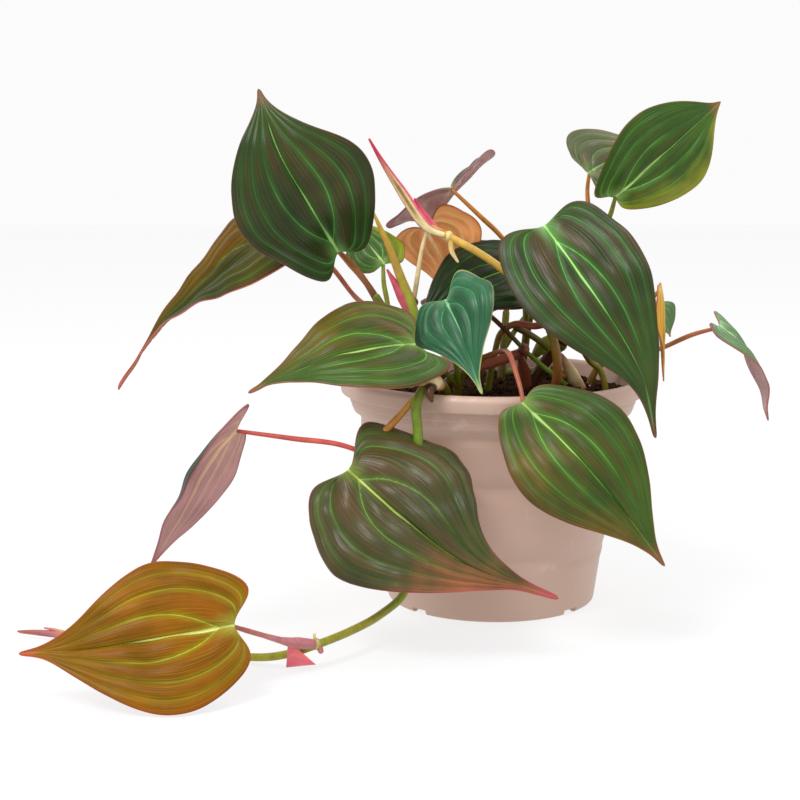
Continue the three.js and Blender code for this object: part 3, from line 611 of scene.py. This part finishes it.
def leaf_material(name, colours, upper):
    """Leaf tissue. The upper face is velvety: its ground turns greener beside the veins and browner between
    them, and fine veins comb it under a short nap. The underside is plain, with paler veins."""
    material, tree, skin = new_material(name)
    veins = vein_masks(tree)
    maths = veins["maths"]

    def fade(value, first, last, most=1.0, least=0.0):
        """Runs smoothly from most to least as the value goes from first to last. Distances from the
        veins and the margin are in millimetres."""
        inputs = {"Value": value, "From Min": first, "From Max": last, "To Min": most, "To Max": least}
        return add_node(tree, "MapRange", inputs, interpolation_type="SMOOTHSTEP").outputs[0]

    def paint(share, under, over):
        """Covers a share of the colour under with the colour over."""
        over = linear(over) if isinstance(over, str) else over
        under = linear(under) if isinstance(under, str) else under
        return add_node(tree, "MixRGB", {"Fac": share, "Color1": under, "Color2": over}).outputs[0]

    def streaked(count, detail):
        """Noise drawn out along the veins, with about so many streaks across half a blade."""
        stretched = add_node(tree, "CombineXYZ", {"X": maths("MULTIPLY", veins["aside"], count),
                                                  "Y": maths("MULTIPLY", veins["u"], 4.0),
                                                  "Z": maths("SIGN", veins["across"])}).outputs[0]
        return add_noise(tree, stretched, 1, detail)

    mottle = add_noise(tree, veins["place"], 45, 4)
    streaks, threads = streaked(11.0, 2), streaked(64.0, 1)
    roomy = fade(veins["half"], 4.0, 15.0, 0.0, 1.0)
    comb = maths("PINGPONG", maths("MULTIPLY", veins["aside"], fine_veins), 0.5)
    fine = maths("MULTIPLY", fade(comb, 0.02, 0.16, roomy), fade(threads, 0.3, 0.65, 0.4, 1.0))
    core = maths("MULTIPLY", fade(veins["lateral"], 0.08, 0.38), fade(veins["u"], 0.05, 0.75, 0.85, 0.06))
    core = maths("MULTIPLY", core, fade(veins["aside"], 0.35, 0.75, 0.9, 0.22))
    glow = maths("MULTIPLY", fade(veins["lateral"], 0.1, 2.2), fade(veins["u"], 0.05, 0.95, 1.0, 0.25))
    glow = maths("MULTIPLY", glow, fade(veins["aside"], 0.35, 0.8, 0.9, 0.35))
    past_midrib = maths("SUBTRACT", veins["midrib"], fade(veins["u"], 0.05, 0.85, 0.5, 0.15))
    midrib = maths("MULTIPLY", fade(past_midrib, 0.0, 0.35), fade(veins["u"], 0.1, 0.95, 0.95, 0.35))
    if upper:
        across_weight, along_weight, even_share = colours["flush_by"]
        warm = maths("MULTIPLY_ADD", veins["u"], along_weight, even_share)
        warm = maths("MULTIPLY_ADD", veins["across"], across_weight, warm)
        warm = maths("MULTIPLY", fade(maths("ADD", warm, mottle), 0.45, 1.0, 0.0, 1.0), 0.85)
        nearest = maths("MINIMUM", veins["lateral"], veins["midrib"])
        bare = maths("MULTIPLY", fade(nearest, 0.6, 3.0, 0.15, 1.0), fade(streaks, 0.3, 0.7, 0.3, 1.0))
        bare = maths("MULTIPLY", bare, fade(mottle, 0.36, 0.56, 0.4, 1.0))
        midrib_glow = fade(veins["midrib"], 0.5, 2.4)
        midrib_glow = maths("MULTIPLY", midrib_glow, fade(veins["u"], 0.05, 0.8, 0.9, 0.2))
        petiole_glow = maths("MULTIPLY", fade(veins["u"], 0.0, 0.14), fade(veins["midrib"], 1.0, 6.0))
        tone = paint(bare, colours["ground"], colours["between"])
        tone = paint(warm, tone, colours["flush"])
        tone = paint(maths("MULTIPLY", fine, 0.3), tone, colours["beside"])
        tone = paint(maths("MULTIPLY", maths("MAXIMUM", glow, midrib_glow), 0.65), tone, colours["beside"])
        tone = paint(maths("MULTIPLY", petiole_glow, 0.5), tone, colours["vein"])
        tone = paint(core, tone, colours["vein"])
        tone = paint(midrib, tone, colours["midrib"])
        broad = maths("MULTIPLY_ADD", streaks, 0.4, maths("MULTIPLY", mottle, 0.6))
        combed = maths("MULTIPLY", maths("SUBTRACT", threads, 0.5), 0.45)
        light = fade(maths("MULTIPLY_ADD", combed, roomy, broad), 0.25, 0.75, 0.6, 1.45)
        grooves = maths("MULTIPLY", maths("MAXIMUM", core, midrib), -0.6)
        nap = add_noise(tree, veins["place"], 2200, 2)
        grooves = maths("MULTIPLY_ADD", nap, 0.05, maths("MULTIPLY_ADD", threads, 0.15, grooves))
        grooves = maths("MULTIPLY", maths("MULTIPLY_ADD", fine, -0.25, grooves), roomy)
        bump = add_node(tree, "Bump", {"Height": grooves, "Strength": 0.8, "Distance": 0.35 * mm})
        tree.links.new(bump.outputs[0], skin.inputs["Normal"])
    else:
        tone = paint(fade(mottle, 0.7, 0.3, 0.25), colours["under"], colours["between"])
        tone = paint(maths("MULTIPLY", fine, 0.15), tone, colours["under_vein"])
        tone = paint(maths("MULTIPLY", glow, 0.2), tone, colours["under_vein"])
        tone = paint(maths("MAXIMUM", core, midrib), tone, colours["under_vein"])
        light = fade(streaks, 0.2, 0.8, 0.85, 1.15)
    edge, tip = fade(veins["margin"], 0.1, 0.45, 0.8), fade(veins["u"], 0.98, 0.86, 0.8)
    tone = paint(maths("MAXIMUM", edge, tip), tone, colours["margin"])
    tone = add_node(tree, "HueSaturation", {"Value": light, "Color": tone}).outputs[0]
    tree.links.new(tone, skin.inputs["Base Color"])
    skin.inputs["Roughness"].default_value = 0.36 if upper else 0.5
    skin.inputs["Specular IOR Level"].default_value = colours["gloss"]
    return material


def rim_material(name, colour):
    """The edge of a blade: a thin line of reddish tissue, lighter and darker by turns."""
    material, tree, skin = new_material(name)
    place = add_node(tree, "TexCoord").outputs["Object"]
    patches = add_noise(tree, place, 90, 2)
    light = add_node(tree, "MapRange", {"Value": patches, "To Min": 0.8, "To Max": 1.25}).outputs[0]
    tone = add_node(tree, "HueSaturation", {"Value": light, "Color": linear(colour)}).outputs[0]
    tree.links.new(tone, skin.inputs["Base Color"])
    skin.inputs["Roughness"].default_value = 0.5
    return material


leaf_materials = {
    skin: [leaf_material(f"velvet_{skin}_upper", colours, True),
           leaf_material(f"velvet_{skin}_under", colours, False),
           rim_material(f"velvet_{skin}_edge", colours["margin"])]
    for skin, colours in leaf_skins.items()
}
for name, leaf in leaves.items():
    blade = make_blade(f"blade_{name}", leaf, leaf_materials[leaf["skin"]])
    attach(blade, "root")
    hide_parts(f"leaf_{name}")

# The stems and petioles
# Smooth fleshy shoots, olive where they are old and pink or red where they are young. Each leafy stem
# is one piece, with its petioles, its swollen nodes and the sheaths round its buds. The centre stem ends
# in a new leaf that is still furled.
stem_sides = 14
furled_sides = 40
seam_depth = 0.4
stem_step = 1.6
round_end_steps = (0.15, 0.5)
curve_parts = 400
petiole_overlap = 0.6
# Brown marks the old stems low in the crown and is painted darker than their own colour: partly their
# colour, partly painted shade under the leaves.
stem_colours = {
    "olive": "#6c701a", "green": "#74942a", "lime": "#98a63a", "khaki": "#8e8a24", "brown": "#502e10",
    "tan": "#8c5628", "orange": "#b4722c", "rose": "#9c543c", "dusk": "#b06c70", "red": "#bc5046",
    "straw": "#b8943a", "cream": "#e2d09a", "pink": "#d0586c", "crimson": "#b42c4a", "bark": "#38240f",
    "groove": "#9c7c42", "salmon": "#d46a68",
}


def petiole_end(name):
    leaf = leaves[name]
    base, along = curve_place(leaf["spine"], 0)
    return tuple(base + along * petiole_overlap)


def shoot(route, radii, colours, seam=None):
    """A shoot through a route, thick as its radii say. A furled leaf shows a seam: a way that it faces,
    the colour of its lips and the colour in it."""
    return dict(route=route, radii=radii, colours=colours, seam=seam)


def petiole(name, route, colours, radii=(1.3, 0.9, 1.0, 0.7)):
    return shoot([*route, petiole_end(name)], radii, colours)


def knot(place, radius, colours=("brown", "olive")):
    x, y, z = place
    side, slim = radius * 0.9, radius * 0.8
    return shoot([(x - side, y, z), (x, y, z), (x + side, y, z)], (slim, radius, slim), colours)


stout = (1.6, 1.2, 1.5, 0.8)
stems = {
    "stem_trailing": [
        shoot([(-16, -30, 68), (-18, -37, 82), (-21, -46, 91.5), (-26, -56, 93.5), (-30.5, -60.5, 87),
               (-30, -61.5, 76), (-30, -61, 62), (-31, -59, 45), (-33, -55.5, 29), (-35, -56, 16),
               (-44, -68, 11), (-54, -82, 9.5), (-65, -94, 8.5), (-75, -95, 5.5), (-86, -91, 3),
               (-106, -84, 2.2), (-128, -75, 1.9), (-152, -66, 1.8), (-176, -59, 2.2)],
              (1.9, 1.9, 1.6, 1.5, 1.4, 1.3, 0.5),
              ("brown", "olive", "green", "green", "khaki", "khaki", "khaki", "dusk", "dusk")),
        petiole("front_large", [(-24, -54, 94), (-31, -58.5, 88.5), (-38.3, -59, 80.4), (-47, -62.5, 72)],
                ("straw", "orange", "straw"), stout),
        petiole("left_mauve", [(-30, -61, 54), (-38, -61, 63), (-56, -61, 71.7), (-75, -61, 74.5)],
                ("red", "red", "red")),
        petiole("trailing_bronze", [(-65, -94, 8.7), (-74, -102, 12), (-83, -111, 17.5)],
                ("dusk", "dusk", "rose"), (1.6, 2.1, 1.2, 0.9, 0.9, 0.7)),
        shoot([(-148, -67.5, 2), (-158, -64.5, 2.6), (-168, -61.5, 2.9), (-176.5, -59, 2.4)],
              (0.9, 1.5, 0.9, 0.35), ("dusk", "dusk", "rose")),
        shoot([(-158, -64, 3.4), (-163, -63, 4.4), (-166, -62.5, 4.8)], (0.8, 0.6, 0.25),
              ("straw", "pink")),
        shoot([(-65.5, -94.5, 9.5), (-65.8, -95, 13)], (0.6, 0.5), ("straw", "cream")),
        shoot([(-64, -94.5, 8.4), (-63.4, -95.5, 5.7)], (0.9, 1.1), ("rose", "dusk")),
        shoot([(-21, -48, 91), (-25, -55, 94.5), (-30, -59, 95), (-33, -61, 93)], (1.6, 2.9, 2.6, 0.6),
              ("rose", "cream", "rose")),
        shoot([(-24, -56, 92.5), (-26, -61.5, 92), (-25, -64, 88)], (1.2, 2.2, 0.5), ("bark", "brown")),
        knot((-65, -94, 8.7), 2.1, ("cream", "khaki")),
        knot((-30, -61, 54), 2.2),
    ],
    "stem_left": [
        shoot([(-24, -14, 66), (-26, -18, 84), (-33, -22, 100), (-40, -24, 113), (-46, -25.5, 123)],
              (2, 1.9, 1.7, 1.5), ("brown", "olive")),
        petiole("upper_left_large", [(-44, -25, 119), (-49, -24.5, 127), (-54.5, -25.5, 134)],
                ("brown", "tan", "tan"), stout),
        petiole("far_left_bronze",
                [(-43, -24, 114), (-53, -18, 120.8), (-61.5, -12, 130.8), (-70, -7.5, 139)],
                ("rose", "rose", "red")),
        petiole("left_small_green",
                [(-36, -22, 104), (-40, -17, 111), (-41.4, -14, 119.6), (-42.6, -12.8, 126)],
                ("olive", "lime")),
        petiole("centre_orange",
                [(-28, -18.5, 88), (-31, -12, 103), (-31.3, -6.5, 116), (-29.8, -3.5, 126.5),
                 (-28.3, -1, 136)],
                ("rose", "tan", "cream", "cream")),
        shoot([(-30, -20, 94), (-31, -18, 106), (-31.6, -17, 116.5), (-36, -16, 128), (-40.2, -16, 139),
               (-46.5, -16, 153)], (1.5, 1.9, 2, 1.7, 1.3, 0.5), ("olive", "lime", "straw", "straw")),
        shoot([(-31.5, -18.5, 110), (-35, -15.5, 120), (-41.4, -15, 131.5)], (1.2, 2.3, 0.4),
              ("rose", "pink", "pink")),
        knot((-40, -24, 114), 2.3),
        knot((-31, -6, 118), 2),
    ],
    "stem_centre": [
        shoot([(22, -24, 68), (22, -28, 84), (22, -35, 99), (18, -37, 113), (10, -34, 125), (1, -29.5, 133),
               (-8, -26, 139), (-19, -22, 144.7), (-26, -22, 148)], (1.9, 1.7, 1.5, 1.4),
              ("brown", "tan", "olive", "straw", "straw")),
        shoot([(-19, -22, 144.7), (-27, -22, 148.5), (-36.4, -22, 162), (-43, -22, 172), (-48, -22, 180.6)],
              (1.4, 2.1, 1.9, 1.1, 0.4), ("rose", "pink", "pink", "crimson", "crimson"),
              seam=((-0.25, -1, -0.1), "cream", "groove")),
        shoot([(-22, -21, 146), (-27.5, -20.5, 152), (-31, -20, 158.5)], (1.2, 1.8, 0.4),
              ("pink", "crimson")),
        shoot([(-17, -22.5, 144), (-17, -23, 139), (-14.5, -23.5, 134.5)], (1.3, 1, 0.4),
              ("straw", "cream")),
        knot((-18, -22, 144.5), 2, ("cream", "straw")),
    ],
    "stem_middle": [
        shoot([(11, 14, 68), (12, 13, 86), (14, 10, 104), (13.5, 8.5, 119)], (1.8, 1.7, 1.5),
              ("brown", "olive")),
        petiole("centre_purple", [(14, 8.5, 116), (10.5, 8, 131), (3.6, 2, 142.2), (-6, -2, 151.5)],
                ("orange", "orange", "orange")),
        petiole("centre_dark", [(14, 10, 102), (15.5, 4, 113), (14.5, -4, 124)], ("olive", "olive")),
    ],
    "stem_right": [
        shoot([(14, 4, 68), (15.1, 3, 82), (21.2, 2, 94), (26.5, -2, 101), (31, -9, 109), (34, -7, 118),
               (37, -1, 130), (41, 1.5, 142)], (2.3, 2.4, 2, 1.6),
              ("bark", "brown", "brown", "olive", "tan")),
        petiole("upper_right_green", [(40, 1, 138), (43, 0, 146), (45, -2.5, 152)], ("olive", "olive")),
        petiole("upper_right_back", [(36, -3, 126), (38, 6, 138), (38.5, 13, 150), (38, 16.5, 160)],
                ("tan", "orange")),
        petiole("right_large",
                [(-3, -5, 68), (-2, -6, 84), (0.3, -8, 98), (2.5, -10.5, 106.5), (8, -14.5, 110.5),
                 (15.5, -21, 110.5), (22, -29, 115.5), (22, -35, 130)],
                ("olive", "olive", "rose", "tan", "olive"), stout),
        petiole("back_left", [(30, 1, 74), (29, 0, 84), (20.2, -5, 92), (12.4, -9, 99.2), (6, -12, 106),
                              (0.4, -12, 111.5), (-3, -5, 114), (-3.5, 8, 115.5), (-5, 20, 117)],
                ("olive", "green", "brown", "rose", "olive")),
        shoot([(7, -13.5, 109.5), (12.9, -12.5, 106.5), (17.9, -9, 103), (22, -3, 99)], (1.3, 1.3),
              ("brown", "olive")),
        shoot([(15, -1, 95), (20, -3, 101), (25, -4, 105.7)], (0.8, 3.2, 1), ("olive", "lime")),
        shoot([(26, -2, 97.5), (30.5, 0, 90.6), (36, 4, 80)], (1, 2.6, 3), ("rose", "cream", "rose")),
        shoot([(23, 0, 92), (27, 1, 89), (32, 2, 87.5)], (0.8, 1.8, 1.2), ("orange", "straw")),
        shoot([(31, -9, 108), (34.5, -6.5, 100), (38, -4.5, 94.5), (42, -4, 91), (44.2, -4, 83),
               (44.5, -4, 74)], (1.2, 1.3), ("brown", "olive", "straw")),
        shoot([(-20, -9, 70), (-20, -10, 82), (-15.5, -11.5, 89.5), (-7.4, -11, 92.8), (3.5, -8.5, 96),
               (12, -8, 99)], (2.2, 2), ("olive", "brown", "rose", "rose")),
        shoot([(9.9, -7, 98), (12.4, -1, 91.4), (14.6, 3, 83)], (1, 2.2, 2), ("rose", "rose")),
        knot((26.5, -2, 101), 3, ("bark", "olive")),
        knot((11.5, -9.5, 100), 2.6, ("brown", "rose")),
    ],
    "stem_right_low": [
        shoot([(38, 14, 70), (40, 13, 83), (44, 12, 91), (52, 12, 93.5)], (1.7, 1.5, 1.2),
              ("olive", "tan")),
        petiole("right_small", [(49, 12, 93), (58, 13, 94), (68.8, 14, 97.6), (80, 10, 103.4)],
                ("tan", "tan", "rose")),
        petiole("right_yellow", [(44, 12, 91), (51, 7, 102), (58, 0, 113)], ("olive", "straw")),
        petiole("right_pale", [(47, 12, 92.3), (56, 20, 99), (63, 26.5, 106)], ("olive", "green")),
    ],
    "stem_front": [
        shoot([(-15, -26, 70), (-15, -27, 84), (-13, -28.5, 93), (-6.3, -32, 100.5)], (1.9, 1.7, 1.2),
              ("brown", "olive")),
        petiole("front_right", [(-9, -31, 98), (-1.2, -36.5, 102.1), (2, -42, 103.6), (3.4, -50, 103),
                                (5, -57, 98), (6.6, -61.5, 92)], ("tan", "rose", "rose")),
        petiole("centre_teal",
                [(-14.5, -27.5, 88), (-15.5, -35, 97), (-18, -41.5, 107.5), (-19.5, -38.5, 115.5)],
                ("olive", "green")),
        petiole("middle_left", [(-14.5, -27.5, 88), (-20, -36, 95.5), (-26, -43, 102)], ("olive", "green")),
        knot((-9, -31, 98), 1.9),
    ],
    "stem_back": [
        shoot([(4, 22, 68), (5, 23, 84), (6, 25, 98), (7, 26.5, 112)], (1.9, 1.7, 1.4), ("brown", "olive")),
        petiole("back_russet", [(6.5, 26, 106), (7.5, 26.5, 118), (7, 26.5, 130)], ("tan", "rose")),
        petiole("back_right", [(6, 25, 96), (14, 27, 108), (26, 30, 121)], ("olive", "olive")),
        shoot([(5, 23, 86), (15, 27, 86.5), (27, 32, 84.5), (30, 33, 74)], (1.5, 1.4), ("olive", "brown")),
    ],
}


def along_list(values, share):
    """The value at a share of the way along an even list."""
    place = share * (len(values) - 1)
    before = min(int(place), len(values) - 2)
    return mix(values[before], values[before + 1], place - before)


def tints(names):
    return [Vector(linear(stem_colours[name])) for name in names]


def ramp(value, low, high):
    return min(max((value - low) / (high - low), 0), 1)


def grow(bm, tint, route, radii, colours, seam):
    """One tube with round closed ends along a route, from a grid rolled up round it. A seam colours its
    lips and opens between them along the middle of the tube."""
    sides = furled_sides if seam else stem_sides
    length = curve_length(route)
    first, last = radii[0], radii[-1]
    inner = max(int(length / stem_step), 3)
    stations = [0, *(first * step for step in round_end_steps)]
    stations += [mix(first, length - last, step / inner) for step in range(inner + 1)]
    stations += [*(length - last * step for step in reversed(round_end_steps)), length]
    samples = [curve_place(route, part / curve_parts) for part in range(curve_parts + 1)]
    travelled = [0]
    for (a, _), (b, _) in zip(samples, samples[1:]):
        travelled.append(travelled[-1] + (b - a).length)
    tones = tints(colours)
    rings = []
    up = samples[0][1].orthogonal().normalized()
    at = 0
    for station in stations:
        while at < curve_parts - 1 and travelled[at + 1] < station:
            at += 1
        share = (station - travelled[at]) / (travelled[at + 1] - travelled[at])
        middle = samples[at][0].lerp(samples[at + 1][0], min(share, 1))
        way = samples[at][1]
        up = (up - way * up.dot(way)).normalized()
        round_end = min(station / first, (length - station) / last, 1)
        radius = along_list(radii, station / length) * math.sqrt(max(1 - (1 - round_end) ** 2, 0))
        colour = along_list(tones, station / length)
        rings.append((middle, up.copy(), way.cross(up), radius, colour, station / length))
    made = bmesh.ops.create_grid(bm, x_segments=sides, y_segments=len(rings) - 1, size=1)["verts"]
    for vertex in made:
        angle = (vertex.co.x + 1) * math.pi
        middle, up, side, radius, colour, share = rings[round((vertex.co.y + 1) / 2 * (len(rings) - 1))]
        outward = up * math.cos(angle) - side * math.sin(angle)
        if seam:
            toward, lips, inside = seam
            facing = outward.dot(Vector(toward).normalized())
            lip = ramp(facing, 0.6, 0.8) * ramp(share, 0.85, 0.5)
            opening = ramp(facing, 0.86, 0.96) * ramp(share, 0.2, 0.35) * ramp(share, 0.75, 0.55)
            lip_tint, inside_tint = tints((lips, inside))
            colour = colour.lerp(lip_tint, lip).lerp(inside_tint, opening)
            radius *= 1 - seam_depth * opening
        vertex.co = (middle + outward * radius) * mm
        vertex[tint] = colour
    bmesh.ops.remove_doubles(bm, verts=made, dist=1e-7)


# A scale that a bud has shed still sits at the node of the trailing stem.
bud_scales = {
    "stem_trailing": dict(
        corners=[(-74.3, -102.2, 12.6), (-75.4, -97.5, 1.5), (-65.2, -97, 2.4)], bulge=0.8,
        colours=("pink", "salmon", "pink")),
}


def grow_bud_scale(bm, tint, corners, bulge, colours):
    """A thin three-cornered pad between the corners."""
    top, left, right = [Vector(corner) for corner in corners]
    facing = (right - top).cross(left - top).normalized()
    tones = tints(colours)
    made = bmesh.ops.create_grid(bm, x_segments=24, y_segments=16, size=1)["verts"]
    for vertex in made:
        angle = (vertex.co.x + 1) * math.pi
        down = (vertex.co.y + 1) / 2
        place = top.lerp(left, down).lerp(top.lerp(right, down), (1 - math.cos(angle)) / 2)
        swell = bulge * math.sin(angle) * min(4 * (1 - down), 2 * down + 0.2, 1) ** 0.5
        vertex.co = (place + facing * swell) * mm
        vertex[tint] = along_list(tones, down)
    bmesh.ops.remove_doubles(bm, verts=made, dist=1e-7)


def shoot_material():
    """Fleshy tissue with a thin waxy skin: moist highlights, and fine flecks in the colour it carries."""
    material, tree, skin = new_material("fleshy_shoot")
    place = add_node(tree, "TexCoord").outputs["Object"]
    tint = add_node(tree, "Attribute", attribute_name="tint").outputs["Color"]
    flecks = add_noise(tree, place, 380, 4)
    both = add_node(tree, "Math", {0: flecks, 1: add_noise(tree, place, 70, 2)}, operation="ADD").outputs[0]
    light = add_node(tree, "MapRange", {"Value": both, "From Min": 0.6, "From Max": 1.4, "To Min": 0.7,
                                        "To Max": 1.3}).outputs[0]
    tone = add_node(tree, "HueSaturation", {"Value": light, "Color": tint}).outputs[0]
    tree.links.new(tone, skin.inputs["Base Color"])
    bump = add_node(tree, "Bump", {"Height": flecks, "Strength": 0.15, "Distance": 0.3 * mm})
    tree.links.new(bump.outputs[0], skin.inputs["Normal"])
    skin.inputs["Roughness"].default_value = 0.36
    skin.inputs["Specular IOR Level"].default_value = 0.3
    return material


fleshy_shoot = shoot_material()
for name, shoots in stems.items():
    bm = bmesh.new()
    tint = bm.verts.layers.float_color.new("tint")
    for branch in shoots:
        grow(bm, tint, **branch)
    if name in bud_scales:
        grow_bud_scale(bm, tint, **bud_scales[name])
    bmesh.ops.recalc_face_normals(bm, faces=bm.faces)
    grown = new_object(name.replace("stem", "shoots"), bm, [fleshy_shoot])
    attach(grown, "root")
    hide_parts(name)
